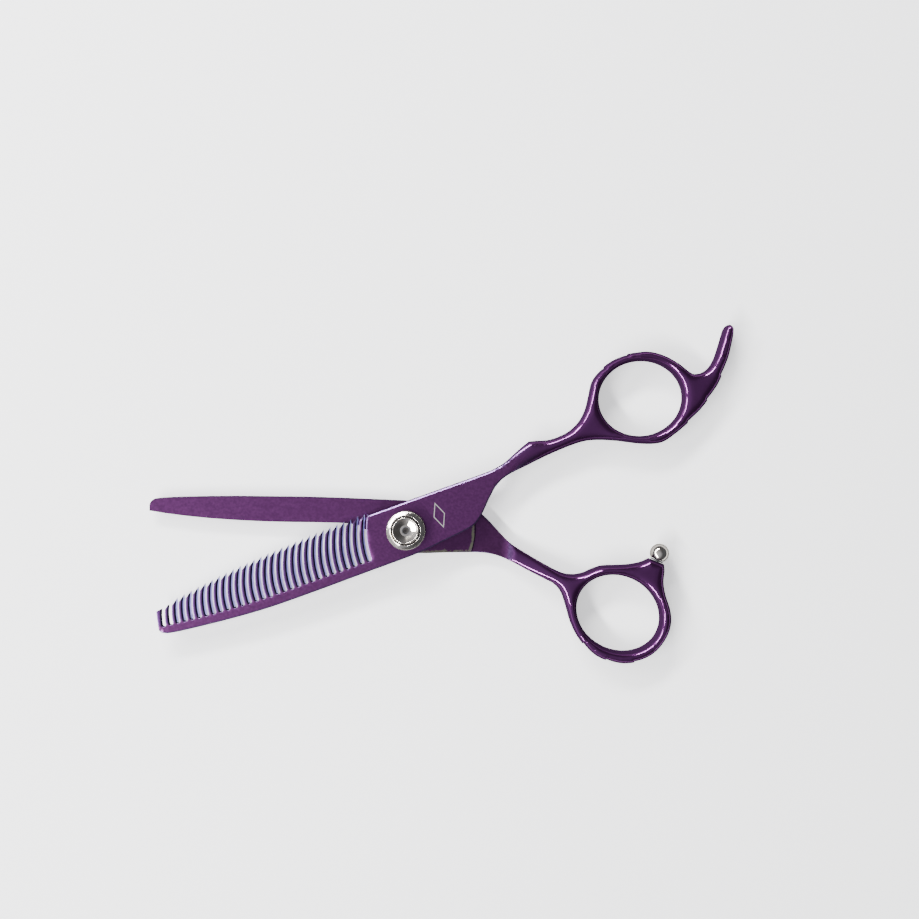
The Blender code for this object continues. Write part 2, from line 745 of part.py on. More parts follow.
def bumper_washer(parts):
    inner = STUD_RADIUS + FIT
    return ring("bumper_washer", inner, BUMPER_COLLAR_RADIUS, WASHER_BOTTOM, WASHER_TOP, parts)


def bumper_stud(parts):
    chamfer = 0.2 * MM
    return turned(
        "bumper_stud",
        [
            (0.0, STUD_TOP),
            (STUD_RADIUS - chamfer, STUD_TOP),
            (STUD_RADIUS, STUD_TOP - chamfer),
            (STUD_RADIUS, -STUD_DEPTH + chamfer),
            (STUD_RADIUS - chamfer, -STUD_DEPTH),
            (0.0, -STUD_DEPTH),
        ],
        parts,
        steps=20,
    )


# Assembly ---------------------------------------------------------------------------------------


def main():
    for obj in list(bpy.data.objects):
        bpy.data.objects.remove(obj)
    parts = collection("thinning_shears")
    tools = collection("cutters")

    painted = material("painted_steel", (0.125, 0.042, 0.15), 0.35, 0.38)
    polished = material("polished_steel", (0.80, 0.79, 0.76), 1.0, 0.16)
    spring = material("spring_steel", (0.45, 0.45, 0.46), 1.0, 0.35)
    bronze = material("bronze", (0.55, 0.36, 0.16), 1.0, 0.35)
    rubber = material("black_rubber", (0.01, 0.01, 0.01), 0.0, 0.7)
    nylon = material("nylon", (0.80, 0.80, 0.78), 0.0, 0.5)

    still_frame = link("still_frame", None, parts)
    moving_frame = link("moving_frame", None, parts)
    bumper_mount = link("bumper_mount", None, parts)
    bumper_mount.parent = moving_frame
    bumper_mount.matrix_local = bumper_frame()

    finish(toothed_half(parts, tools), painted, still_frame)
    finish(plain_half(parts, tools), painted, moving_frame)
    finish(pivot_screw(parts, tools), polished, moving_frame)
    finish(ride_washer(parts), nylon, moving_frame)
    finish(pivot_bush(parts), bronze, still_frame)
    finish(base_washer(parts), spring, still_frame)
    finish(spring_washer(parts), spring, moving_frame)
    finish(click_plate(parts, tools), spring, moving_frame)
    finish(tension_dial(parts, tools), polished, moving_frame)
    finish(dial_cap(parts), polished, moving_frame)
    finish(lock_screw(parts, tools), spring, moving_frame)
    finish(detent_ball(parts), polished, moving_frame)
    finish(detent_spring(parts), spring, moving_frame)
    finish(bumper_head(parts), polished, bumper_mount)
    finish(bumper_washer(parts), rubber, bumper_mount)
    finish(bumper_stud(parts), spring, bumper_mount)

    still_frame.rotation_euler.z = TOOTHED_ANGLE
    moving_frame.rotation_euler.z = PLAIN_ANGLE


main()
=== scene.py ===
"""The looks of the thinning shears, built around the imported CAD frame.

Each half is drawn again in its own frame from the outline that the CAD uses, in millimetres: the
pivot at the origin and the blade along -X. Its outline is meshed with rows of points that follow
the edge, and its upper and lower faces are heights over that mesh, so chamfers, round handles,
the ride and the run-out are all real geometry. It is then turned to its resting angle.
"""

import math

import bpy
import numpy as np
from mathutils import Matrix, Vector
from mathutils.geometry import delaunay_2d_cdt
from mathutils.kdtree import KDTree


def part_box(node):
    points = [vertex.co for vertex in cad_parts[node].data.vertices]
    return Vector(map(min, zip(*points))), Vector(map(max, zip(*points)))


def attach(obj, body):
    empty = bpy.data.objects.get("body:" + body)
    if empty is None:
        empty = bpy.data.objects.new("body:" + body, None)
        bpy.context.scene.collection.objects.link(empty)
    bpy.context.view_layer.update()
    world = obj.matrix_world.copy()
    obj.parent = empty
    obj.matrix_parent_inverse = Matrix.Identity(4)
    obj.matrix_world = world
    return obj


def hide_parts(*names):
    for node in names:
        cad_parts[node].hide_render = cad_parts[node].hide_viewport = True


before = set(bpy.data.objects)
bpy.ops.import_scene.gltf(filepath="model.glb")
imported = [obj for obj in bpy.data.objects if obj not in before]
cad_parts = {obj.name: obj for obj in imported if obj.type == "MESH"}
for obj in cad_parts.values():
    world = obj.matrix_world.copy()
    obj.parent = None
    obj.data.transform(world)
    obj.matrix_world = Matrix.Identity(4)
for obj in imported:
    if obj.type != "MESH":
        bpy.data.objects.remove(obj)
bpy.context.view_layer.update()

MM = 0.001


def height_of(node, end):
    """The lowest (0) or highest (1) level of a CAD node, in millimetres."""
    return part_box(node)[end].z / MM


# Levels and sizes, in millimetres, from the CAD frame
TOP = height_of("toothed_half", 1)
MIDDLE = TOP / 2
WASHER_GAP = 0.07
FACE_GAP = 0.2
PLAIN_FACE = height_of("ride_washer", 0) - WASHER_GAP
TOOTHED_FACE = PLAIN_FACE + FACE_GAP
RELIEF = 0.4
SKIN = 0.01

# Round the pivot: the bush's bore, the keyed hole's radius and half width, and two recesses, each
# with the radii just inside and outside its wall
BUSH_BORE = 2.9
KEY_HOLE = (2.1, 1.7)
WASHER_RECESS = (4.4, 4.44)
WASHER_RECESS_DEPTH = 0.45
HEAD_RECESS = (3.6, 3.64)
HEAD_RECESS_DEPTH = 1.0
HEAD_CLEAR = 4.0

TOOTHED_TURN = math.radians(20.0)
PLAIN_TURN = math.radians(-5.0)

# Handles: how wide their rounding is, and where their upright sides start and end
ROUND_WIDTH = 2.2
SIDE_TOP = MIDDLE + 0.5
SIDE_BOTTOM = MIDDLE - 1.1
ROUND_ROWS = [1 - math.cos(math.radians(a)) for a in range(15, 91, 15)]

# Where each half changes from flat to rounded, along X: its top, its underside and its gloss
TOOTHED_ROUNDED = (29.0, 42.0)
TOOTHED_UNDER_ROUNDED = (26.8, 30.8)
PLAIN_ROUNDED = (19.0, 27.0)
PLAIN_GLOSS = (26.6, 29.6)
PLAIN_SIDE_RISE = (27.0, 38.0)
PLAIN_TOP_RISE = (28.0, 45.0)

# Comb, as in the CAD
TOOTH_COUNT = 30
SLOT_PITCH = 1.96
SLOT_WIDTH = 1.15
LAST_SLOT_X = -12.4
SLOT_UPRIGHT_Y = -4.0
SLOT_RADII = (21.0, 14.0)
SLOT_ROOT_DEPTH = 0.5
TOOTH_SLANT = 0.65
TOOTH_FLARE = 0.5
TOOTH_LEAN = 0.06
OPEN_TIP_X = -65.5
ROOT_LINE = np.array([(-72, -1.9), (-69, -2.2), (-60, -3.2), (-50, -4.0), (-40, -4.4), (-10, -4.5)])

# The toothed half's regions: how its back runs along X, and where its comb ends
BACK_SPAN = (-9.0, 39.5)
COMB_END = -8.0
EDGE_REACH = 0.4

# Chamfers round the toothed half's upper face, as (width, depth)
EDGE_CHAMFER = (0.36, 0.2)
BACK_CHAMFER = (0.52, 0.3)
LEFT_WALL_CHAMFER = (0.16, 0.055)
RIGHT_WALL_CHAMFER = (0.1, 0.08)
LAST_WALL_CHAMFER = (0.3, 0.16)
BORE_CHAMFER = (0.2, 0.2)

# The steeper band at the outer edge of the back's chamfer
EDGE_BAND = 0.42
EDGE_DROP = 0.24

# Edges that are broken only slightly, as (width, depth)
INNER_BREAK = (0.14, 0.12)
UNDER_BREAK = (0.5, 0.45)

# Ride and run-out
RIDE_RADIUS = 18.0
RIDE_WALL = 0.25
RUNOUT_START = 25.4
RUNOUT_BEND = 0.062
SHANK_SIDE = 2.25
SHANK_TOP = 3.2

# The ride's bare edges: how wide the worn arc and the worn lower edge are
WORN_ARC = 0.9
WORN_ARC_INSET = 0.35
WORN_EDGE = 1.5

# Etched lozenge beside the dial: its centre and half sizes, in the toothed half's own frame
MARK_PLACE = (9.5, 0.7)
MARK_SIZE = (1.6, 3.6)

# Blades
TAPER_START = -9.0
BLADE_LENGTH = 70.0
TOOTHED_TIP_THICKNESS = 1.7
PLAIN_TIP_THICKNESS = 1.5
GRIND_LIFT = 1.9
GRIND_WIDTH = 5.0
GRIND_END = -14.0
GRIND_LIMIT = -8.0
EDGE_THICKNESS = 0.35

FINGER_HOLE = ((69.9, 11.4), (11.1, 9.9), -12.8)
THUMB_HOLE = ((57.6, -17.1), (11.4, 9.7), -23.8)

TOOTHED_LOWER = [
    (-70.0, -1.6), (-70.1, -2.7), (-69.2, -3.7), (-67.0, -4.4), (-60.0, -5.3), (-50.0, -6.3),
    (-40.0, -6.9), (-28.0, -7.0), (-14.0, -6.9), (0.0, -6.8), (8.0, -6.1), (14.5, -5.4),
    (17.5, -4.7), (20.2, -2.8), (23.5, 0.5), (26.5, 3.0), (30.0, 4.4), (36.0, 5.1),
    (43.0, 5.8), (50.0, 6.0), (54.5, 5.3), (60.0, 3.1), (66.0, 0.1), (70.8, -1.4),
    (75.0, -0.6), (80.0, 1.3), (85.5, 4.3), (90.5, 8.1), (94.8, 13.0), (98.0, 17.8),
    (99.2, 20.4), (98.4, 21.7), (96.9, 21.1), (94.5, 18.0), (91.8, 14.6), (89.3, 12.7),
    (86.8, 12.3), (84.8, 13.1), (82.5, 16.6), (79.6, 19.9), (76.3, 22.2), (72.5, 23.3),
    (68.8, 23.7), (64.5, 22.9), (61.5, 21.6), (59.2, 19.7), (57.3, 16.8), (55.3, 13.8),
    (52.8, 11.4), (49.5, 9.8), (46.0, 9.3), (43.0, 9.5), (40.3, 10.3), (38.4, 10.8),
]
TOOTHED_UPPER = [
    (38.4, 10.8), (36.5, 10.2), (33.5, 9.0), (30.5, 7.8), (27.5, 7.2), (24.0, 7.0),
    (10.0, 7.05), (-9.0, 7.1), (-20.0, 6.95), (-30.0, 6.5), (-40.0, 5.85), (-50.0, 4.95),
    (-60.0, 3.7), (-69.1, 2.3),
]
TOOTHED_TIP = [(-69.1, 2.3), (-69.6, 0.3), (-70.0, -1.6)]
PLAIN_EDGE = [
    (-68.3, -1.0), (-62.0, -1.4), (-54.0, -1.6), (-46.0, -1.5), (-38.0, -1.2), (-30.0, -0.7),
    (-22.0, -0.1), (-15.0, 0.2), (-11.5, -0.6), (-8.5, -3.0), (-5.5, -5.2), (-1.0, -6.2),
    (5.0, -5.9), (11.0, -5.2), (16.0, -4.7), (20.0, -4.4), (24.0, -4.7), (28.0, -5.9),
    (33.0, -8.0), (37.5, -9.8), (40.0, -10.9), (42.0, -12.9), (43.6, -16.4), (45.2, -20.5),
    (47.6, -24.5), (51.2, -27.9), (55.5, -29.8), (60.0, -30.2), (64.5, -29.1), (68.4, -26.2),
    (70.9, -22.2), (71.7, -18.3), (71.1, -14.8), (69.6, -11.2), (68.8, -8.0), (68.8, -5.0),
    (68.5, -3.2),
]
PLAIN_SEAT = [(68.5, -3.2), (64.5, -2.0)]
PLAIN_BACK = [
    (64.5, -2.0), (62.3, -3.2), (59.0, -4.1), (55.5, -4.6), (52.3, -5.0), (49.8, -6.0),
    (47.2, -7.4), (44.5, -8.0), (41.5, -7.7), (37.0, -5.9), (31.5, -3.3), (27.5, -1.1),
    (24.0, 1.9), (21.0, 4.6), (18.0, 6.6), (14.0, 7.4), (8.0, 7.7), (0.0, 7.6),
    (-12.0, 7.1), (-24.0, 6.5), (-36.0, 5.65), (-48.0, 4.7), (-60.0, 3.45), (-66.0, 2.6),
    (-67.6, 2.0), (-68.4, 0.8), (-68.3, -1.0),
]

# The dial: its knurl, its seat for the insert, the room under it and its bevel, which is measured
# from BEVEL_FROM and drawn from BEVEL_START outwards. The insert: its dish and its rounded rim.
KNURL_COUNT = 80
KNURL_DEPTH = 0.13
DIAL_SEAT = 3.82
DIAL_SEAT_FLOOR = 2.05
DIAL_LIP = 0.12
DIAL_BORE = 2.0
DIAL_ROOM = (4.6, 1.19)
BEVEL_SLOPE = 0.577
BEVEL_FROM = 4.0
BEVEL_START = 4.16
DISH_SLOPE = 0.466
DISH_RADII = (1.0, 1.5, 2.0, 2.5, 2.95)
CAP_RIM = 3.25
CAP_ROUND = 0.26
CAP_SIDE = (3.58, 3.76)

# The bumper, measured along its stud from the seat: ball, the foot of its neck, stud hole, washer
BALL_CENTRE = 2.3
BALL_RADIUS = 2.49
BALL_FOOT = (1.78, 0.56)
STUD_HOLE = (0.9, 2.5)
RING_CENTRE = (1.6, 0.28)
RING_THICKNESS = 0.32
RING_ROUND = 0.15

# The camera looks straight down; SEEN_WIDTH is how much it sees at SEEN_LEVEL, all in metres
CAMERA_HEIGHT = 0.290
CAMERA_OVER = (0.0140, 0.0185)
SEEN_WIDTH = 0.2419
SEEN_LEVEL = 0.004
LAMP_AWAY = 0.9
FLOOR_HALF = 3.0
FLOOR_DROP = 0.0001

# Meshing: the spacing of the outline, of the rows that follow it and of the grid that fills the rest
OUTLINE_SPACING = 0.3
ROW_GAP = 0.26
ROW_SHARE = 0.6
ROUND_ROW_SHARE = 0.7
GRID_PITCH = 0.9
GRID_GAP = 0.5
GRID_MARGIN = 0.4
SMOOTH_ANGLE = math.radians(28.0)
LATHE_SMOOTH_ANGLE = math.radians(35.0)

# Small steps on the rings' outer edges: where each one ends, in its half's own frame
FINGER_STEPS = [(63.95, 22.43), (70.86, 23.38), (91.7, 9.74), (86.16, 5.04), (79.61, 0.87)]
THUMB_STEPS = [(48.61, -25.96), (55.2, -29.77), (62.91, -29.68)]
STEP_HEIGHT = 0.32
STEP_LENGTH = 5.0


# Outlines ---------------------------------------------------------------------------------------


def smoothstep(low, high, value):
    t = np.clip((value - low) / (high - low), 0.0, 1.0)
    return t * t * (3 - 2 * t)


def stretch(points):
    """The Catmull-Rom curve through the points, evenly filled, without its last point."""
    knots = np.array(points, float)
    if len(knots) > 2:
        knots = np.vstack([2 * knots[0] - knots[1], knots, 2 * knots[-1] - knots[-2]])
    else:
        knots = np.vstack([knots[0], knots, knots[1]])
    line = []
    for before, start, end, after in zip(knots, knots[1:], knots[2:], knots[3:]):
        steps = max(1, math.ceil(np.linalg.norm(end - start) / OUTLINE_SPACING))
        t = (np.arange(steps) / steps)[:, None]
        if len(points) == 2:
            line.append(start + (end - start) * t)
            continue
        line.append(
            0.5
            * (
                2 * start
                + (end - before) * t
                + (2 * before - 5 * start + 4 * end - after) * t**2
                + (3 * start - before - 3 * end + after) * t**3
            )
        )
    return np.vstack(line)


def ellipse(centre, half_axes, tilt):
    """Clockwise, as a hole in an anticlockwise outline."""
    steps = int(math.pi * (half_axes[0] + half_axes[1]) / OUTLINE_SPACING)
    a = -2 * math.pi * np.arange(steps) / steps
    x, y = half_axes[0] * np.cos(a), half_axes[1] * np.sin(a)
    c, s = math.cos(math.radians(tilt)), math.sin(math.radians(tilt))
    return np.column_stack([centre[0] + c * x - s * y, centre[1] + s * x + c * y])


def slot_lean(i, y):
    share = i / (TOOTH_COUNT - 1)
    radius = SLOT_RADII[0] + (SLOT_RADII[1] - SLOT_RADII[0]) * share
    return (y - SLOT_UPRIGHT_Y) ** 2 / (2 * radius)


def meet(i, foot, line, drop):
    """Where the slot wall with this foot meets the upper line, drop below it."""
    y = 5.0
    for _ in range(12):
        x = foot + slot_lean(i, y)
        y = np.interp(x, line[:, 0], line[:, 1]) - drop
    return foot + slot_lean(i, y), y


def slot(i, line):
    """One slot's outline, from the top of its right wall, round its root, to the tooth's point."""
    foot = LAST_SLOT_X - i * SLOT_PITCH
    root = np.interp(foot, ROOT_LINE[:, 0], ROOT_LINE[:, 1])
    drop = TOOTH_SLANT if i else 0.0
    right_top = meet(i, foot + SLOT_WIDTH, line, drop)[1]
    left_top = meet(i, foot, line, 0.0)[1]
    floor = root + SLOT_ROOT_DEPTH
    count = 22
    right_y = np.linspace(right_top, floor, count)
    left_y = np.linspace(floor, left_top, count)
    a = np.radians(np.arange(-18, -180, -18))
    middle = foot + slot_lean(i, floor) + SLOT_WIDTH / 2
    arc = np.column_stack([middle + SLOT_WIDTH / 2 * np.cos(a), floor + SLOT_ROOT_DEPTH * np.sin(a)])
    right = np.column_stack([foot + SLOT_WIDTH + slot_lean(i, right_y), right_y])
    left = np.column_stack([foot + slot_lean(i, left_y), left_y])
    return np.vstack([right, arc, left])


def stepped(points, ends):
    """Cuts a sharp little step in the edge at each listed place, which fades out past it."""
    lengths = np.linalg.norm(np.diff(points, axis=0, append=points[:1]), axis=1)
    along = np.concatenate([[0.0], np.cumsum(lengths)[:-1]])
    cut = np.zeros(len(points))
    for end in ends:
        past = along - along[np.argmin(np.linalg.norm(points - np.array(end), axis=1))]
        cut = np.maximum(cut, np.where((past > 0) & (past < STEP_LENGTH), 1 - past / STEP_LENGTH, 0.0))
    return points + inward(points) * STEP_HEIGHT * cut[:, None]


def inward(points):
    """Unit normals that point into the material, for outlines that keep it on their left."""
    before = points - np.roll(points, 1, axis=0)
    after = np.roll(points, -1, axis=0) - points
    before /= np.linalg.norm(before, axis=1)[:, None]
    after /= np.linalg.norm(after, axis=1)[:, None]
    normal = np.column_stack([-(before[:, 1] + after[:, 1]), before[:, 0] + after[:, 0]])
    length = np.maximum(np.linalg.norm(normal, axis=1), 0.4)
    return normal / length[:, None] * np.minimum(2 / length, 1.6)[:, None]


# Meshing ----------------------------------------------------------------------------------------


def turned(places, angle):
    c, s = math.cos(angle), math.sin(angle)
    return np.column_stack([c * places[:, 0] - s * places[:, 1], s * places[:, 0] + c * places[:, 1]])


class Outline:
    """Closed loops with, at each point, the inward normal and the half width of the material."""

    def __init__(self, loops):
        self.loops = loops
        self.points = np.vstack(loops)
        self.normals = np.vstack([inward(loop) for loop in loops])
        self.next = np.zeros(len(self.points), int)
        self.before = np.zeros(len(self.points), int)
        start = 0
        for loop in loops:
            index = np.arange(len(loop)) + start
            self.next[index] = np.roll(index, -1)
            self.before[index] = np.roll(index, 1)
            start += len(loop)
        self.tree = KDTree(len(self.points))
        for i, (x, y) in enumerate(self.points):
            self.tree.insert((x, y, 0.0), i)
        self.tree.balance()
        self.half_width = self.measure_half_width()

    def nearest(self, places):
        """The nearest outline point of each place, and the distance to the edge there."""
        index = np.array([self.tree.find((x, y, 0.0))[1] for x, y in places])
        best = np.full(len(places), np.inf)
        for other in (self.next[index], self.before[index]):
            start, end = self.points[index], self.points[other]
            along = end - start
            t = ((places - start) * along).sum(1) / np.maximum((along**2).sum(1), 1e-12)
            foot = start + np.clip(t, 0, 1)[:, None] * along
            best = np.minimum(best, np.linalg.norm(places - foot, axis=1))
        return index, best

    def measure_half_width(self):
        reach = np.full(len(self.points), ROUND_WIDTH)
        open_rays = np.ones(len(self.points), bool)
        for t in np.arange(0.6, ROUND_WIDTH, 0.1):
            _, distance = self.nearest(self.points + self.normals * t)
            closed = open_rays & (distance < t * 0.97)
            reach[closed] = t
            open_rays &= ~closed
        for _ in range(30):
            reach = (reach + reach[self.next] + reach[self.before]) / 3
        return reach

    def inside(self, places):
        """Even-odd test against every loop."""
        result = np.zeros(len(places), bool)
        start, end = self.points, self.points[self.next]
        for first in range(0, len(places), 2000):
            x, y = places[first : first + 2000, 0:1], places[first : first + 2000, 1:2]
            spans = (start[:, 1] > y) != (end[:, 1] > y)
            rise = np.where(end[:, 1] == start[:, 1], 1e-12, end[:, 1] - start[:, 1])
            crossing = start[:, 0] + (y - start[:, 1]) * (end[:, 0] - start[:, 0]) / rise
            result[first : first + 2000] = (spans & (x < crossing)).sum(1) % 2 == 1
        return result


class Sieve:
    """Keeps only points that are far enough from the ones already kept."""

    def __init__(self, cell=0.25):
        self.cell = cell
        self.cells = {}
        self.kept = []

    def clear(self, x, y, gap):
        reach = int(gap / self.cell) + 1
        i, j = int(x // self.cell), int(y // self.cell)
        for a in range(i - reach, i + reach + 1):
            for b in range(j - reach, j + reach + 1):
                for px, py in self.cells.get((a, b), ()):
                    if (px - x) ** 2 + (py - y) ** 2 < gap * gap:
                        return False
        return True

    def add(self, x, y, gap=0.0):
        if gap and not self.clear(x, y, gap):
            return
        self.cells.setdefault((int(x // self.cell), int(y // self.cell)), []).append((x, y))
        self.kept.append((x, y))


def fill_points(outline, chamfer, rounded, extra, double=False):
    """The outline's points, rows that follow it, the extra points, and a grid that fills the rest.

    double marks the outline points whose chamfer has a second, steeper band at the edge.
    """
    sieve = Sieve()
    for x, y in outline.points:
        sieve.add(x, y)
    rows = [(chamfer, chamfer > 0, ROW_SHARE)]
    rows.append((chamfer * EDGE_BAND, np.logical_and(double, chamfer > 0), ROW_SHARE))
    for u in ROUND_ROWS:
        rows.append((outline.half_width * u, rounded > 0.01, ROUND_ROW_SHARE))
    index, measured = outline.nearest(extra)
    for x, y in extra[measured > chamfer[index] + 0.15]:
        sieve.add(x, y, 0.08)
    for distance, wanted, closeness in rows:
        places = outline.points + outline.normals * distance[:, None]
        _, measured = outline.nearest(places)
        good = wanted & (measured > distance * 0.93) & (distance > 0.02)
        for (x, y), d in zip(places[good], distance[good]):
            sieve.add(x, y, min(ROW_GAP, d * closeness))
    grid = patch(outline.points.min(0), outline.points.max(0), GRID_PITCH)
    for x, y in within(outline, grid, GRID_MARGIN):
        sieve.add(x, y, GRID_GAP)
    return np.array(sieve.kept)


def solid(name, outline, points, high, low, turn, marks, flare=0.0):
    """A closed mesh between the heights high and low over the outline, turned about the pivot.

    flare is how far each outline point stands out further at the bottom than at the top. The mark
    "ground" is 1 along the bottom of such walls and 0 along their top.
    """
    edges = [(i, int(after)) for i, after in enumerate(outline.next)]
    places, _, triangles, _, _, _ = delaunay_2d_cdt([Vector(p) for p in points], edges, [], 0, 1e-6)
    places = np.array([tuple(p) for p in places])
    triangles = np.array(triangles)
    triangles = triangles[outline.inside(places[triangles].mean(1))]
    a, b, c = (places[triangles[:, k]] for k in range(3))
    area = (b[:, 0] - a[:, 0]) * (c[:, 1] - a[:, 1]) - (b[:, 1] - a[:, 1]) * (c[:, 0] - a[:, 0])
    triangles[area < 0] = triangles[area < 0][:, ::-1]
    used, compact = np.unique(triangles, return_inverse=True)
    triangles = compact.reshape(triangles.shape)
    spread = np.zeros(len(places))
    spread[: len(outline.points)] = flare
    leaning = np.zeros_like(places)
    leaning[: len(outline.points)] = -outline.normals
    places, spread, leaning = places[used], spread[used], leaning[used]
    half = np.concatenate([triangles[:, [0, 1]], triangles[:, [1, 2]], triangles[:, [2, 0]]])
    directed = {(int(s), int(e)) for s, e in half}
    rim = [(s, e) for s, e in directed if (e, s) not in directed]
    z_high, z_low = high(places), low(places)
    total = len(places)
    upper = np.column_stack([turned(places, turn), z_high])
    lower = np.column_stack([turned(places + leaning * spread[:, None], turn), z_low])
    vertices = np.vstack([upper, lower]) * MM
    faces = [tuple(t) for t in triangles.tolist()]
    faces += [(t[2] + total, t[1] + total, t[0] + total) for t in triangles.tolist()]
    faces += [(e, s, s + total, e + total) for s, e in rim]
    mesh = bpy.data.meshes.new(name)
    mesh.from_pydata(vertices.tolist(), [], faces)
    mesh.validate()
    for mark, measure in marks.items():
        values = np.tile(measure(places), 2).astype(np.float32)
        mesh.attributes.new(mark, "FLOAT", "POINT").data.foreach_set("value", values)
    # This mark places the painted shade of the floor, which the coating puts on the lower slot walls.
    wall_foot = np.concatenate([np.zeros(total), spread > 0.05]).astype(np.float32)
    mesh.attributes.new("wall_foot", "FLOAT", "POINT").data.foreach_set("value", wall_foot)
    mesh.shade_smooth()
    mesh.set_sharp_from_angle(angle=SMOOTH_ANGLE)
    obj = bpy.data.objects.new(name, mesh)
    bpy.context.scene.collection.objects.link(obj)
    return obj


def circle(radius, spacing=OUTLINE_SPACING):
    steps = max(16, int(2 * math.pi * radius / spacing))
    a = -2 * math.pi * np.arange(steps) / steps
    return np.column_stack([radius * np.cos(a), radius * np.sin(a)])


def patch(low, high, pitch):
    """A grid of points over a box."""
    x, y = np.meshgrid(np.arange(low[0], high[0], pitch), np.arange(low[1], high[1], pitch))
    return np.column_stack([x.ravel(), y.ravel()])


def within(outline, places, margin):
    places = places[outline.inside(places)]
    _, measured = outline.nearest(places)
    return places[measured > margin]


def crown(u):
    """A quarter ellipse: 0 at the edge, 1 where the rounding ends."""
    return np.sqrt(np.maximum(0.0, 1 - (1 - np.clip(u, 0, 1)) ** 2))


def radius_of(places):
    return np.hypot(places[:, 0], places[:, 1])


def inside_recess(radius, rims):
    return radius < sum(rims) / 2


def broken(distance, size):
    """How far an edge with this (width, depth) of chamfer lowers the face at a distance from it."""
    return size[1] * np.maximum(0.0, 1 - distance / size[0])


def ride_relief(places):
    """How far the faces behind the ride stand back from it."""
    wall = np.clip((radius_of(places) - RIDE_RADIUS) / RIDE_WALL, 0, 1)
    return RELIEF * wall * (places[:, 0] > 0)


def nowhere(places):
    return np.zeros(len(places))


# The two halves ---------------------------------------------------------------------------------


def toothed_outline():
    upper = stretch(TOOTHED_UPPER)
    line = upper[np.argsort(upper[:, 0])]
    first = slot(0, line)
    parts = [stretch(TOOTHED_LOWER), upper[upper[:, 0] > first[0, 0] + 0.15]]
    for i in range(TOOTH_COUNT):
        wall = slot(i, line)
        if i:
            parts.append(stretch([parts[-1][-1], wall[0]])[1:])
        parts.append(wall)
    tip = stretch(TOOTHED_TIP)
    parts.append(stretch([parts[-1][-1], tip[0]])[1:])
    parts.append(tip)
    outer = np.vstack(parts)
    outer = stepped(outer, FINGER_STEPS)
    outer = outer + inward(outer) * SKIN
    return Outline([outer, ellipse(*FINGER_HOLE), circle(BUSH_BORE)])


def toothed_half():
    outline = toothed_outline()
    x, y = outline.points[:, 0], outline.points[:, 1]
    rounded = smoothstep(*TOOTHED_ROUNDED, x)
    upper = np.array(TOOTHED_UPPER[::-1])
    on_back = (x > BACK_SPAN[0]) & (x < BACK_SPAN[1]) & (y > np.interp(x, *upper.T) - EDGE_REACH)
    in_comb = (x < COMB_END) & (y > np.interp(x, *ROOT_LINE.T) - EDGE_REACH)
    faces_left = in_comb & (outline.normals[:, 0] > 0.3)
    last_wall = faces_left & (x > LAST_SLOT_X + SLOT_WIDTH / 2)
    bore = radius_of(outline.points) < BUSH_BORE + 0.1
    sizes = np.full((len(x), 2), EDGE_CHAMFER)
    for region, size in (
        (in_comb, RIGHT_WALL_CHAMFER),
        (faces_left, LEFT_WALL_CHAMFER),
        (on_back, BACK_CHAMFER),
        (bore, BORE_CHAMFER),
        (last_wall, LAST_WALL_CHAMFER),
    ):
        sizes[region] = size
    chamfer, depth = sizes.T

    def high(places):
        index, distance = outline.nearest(places)
        slope = (TOP - TOOTHED_FACE - TOOTHED_TIP_THICKNESS) / (BLADE_LENGTH + TAPER_START)
        face = TOP - slope * np.maximum(0.0, TAPER_START - places[:, 0])
        width = chamfer[index]
        cut = broken(distance, (width, depth[index]))
        cut += on_back[index] * broken(distance, (EDGE_BAND * width, EDGE_DROP))
        handle = SIDE_TOP + (TOP - SIDE_TOP) * crown(distance / outline.half_width[index])
        share = rounded[index]
        return (face - cut) * (1 - share) + handle * share

    def low(places):
        index, distance = outline.nearest(places)
        recess = np.where(inside_recess(radius_of(places), WASHER_RECESS), WASHER_RECESS_DEPTH, 0.0)
        inner = TOOTHED_FACE + ride_relief(places) + recess
        inner += broken(distance, INNER_BREAK) * (places[:, 0] > COMB_END)
        handle = SIDE_BOTTOM - SIDE_BOTTOM * crown(distance / outline.half_width[index])
        ramp = smoothstep(*TOOTHED_UNDER_ROUNDED, places[:, 0])
        return inner * (1 - ramp) + handle * ramp

    extra = [circle(radius) for radius in (*WASHER_RECESS, RIDE_RADIUS, RIDE_RADIUS + RIDE_WALL)]
    extra.append(patch((26.0, 2.0), (32.0, 9.0), 0.45))
    points = fill_points(outline, chamfer, rounded, within(outline, np.vstack(extra), 0.25), on_back)

    # Painted shade: the coating on the teeth is painted darker and bluer than on the rest of the half.
    def teeth(places):
        above_root = places[:, 1] - np.interp(places[:, 0], *ROOT_LINE.T)
        return smoothstep(0.1, 0.9, above_root) * (places[:, 0] < LAST_SLOT_X + SLOT_WIDTH / 2)

    marks = {
        "gloss": lambda places: smoothstep(*TOOTHED_ROUNDED, places[:, 0]),
        "wear": nowhere,
        "shaded": nowhere,
        "teeth_shade": teeth,
    }
    slot_walls = in_comb & (np.abs(outline.normals[:, 0]) > 0.6) & (x > OPEN_TIP_X)
    flare = slot_walls * np.where(faces_left, TOOTH_LEAN, TOOTH_FLARE)
    return solid("comb_half", outline, points, high, low, TOOTHED_TURN, marks, flare)


def key_hole(radius, half_flat):
    """A round hole with two flats."""
    points = circle(radius, 0.2)
    points[:, 1] = np.clip(points[:, 1], -half_flat, half_flat)
    return points


def plain_outline():
    outer = np.vstack([stretch(PLAIN_EDGE), stretch(PLAIN_SEAT), stretch(PLAIN_BACK)])
    outer = stepped(outer, THUMB_STEPS)
    outer = outer + inward(outer) * SKIN
    return Outline([outer, ellipse(*THUMB_HOLE), key_hole(*KEY_HOLE)])


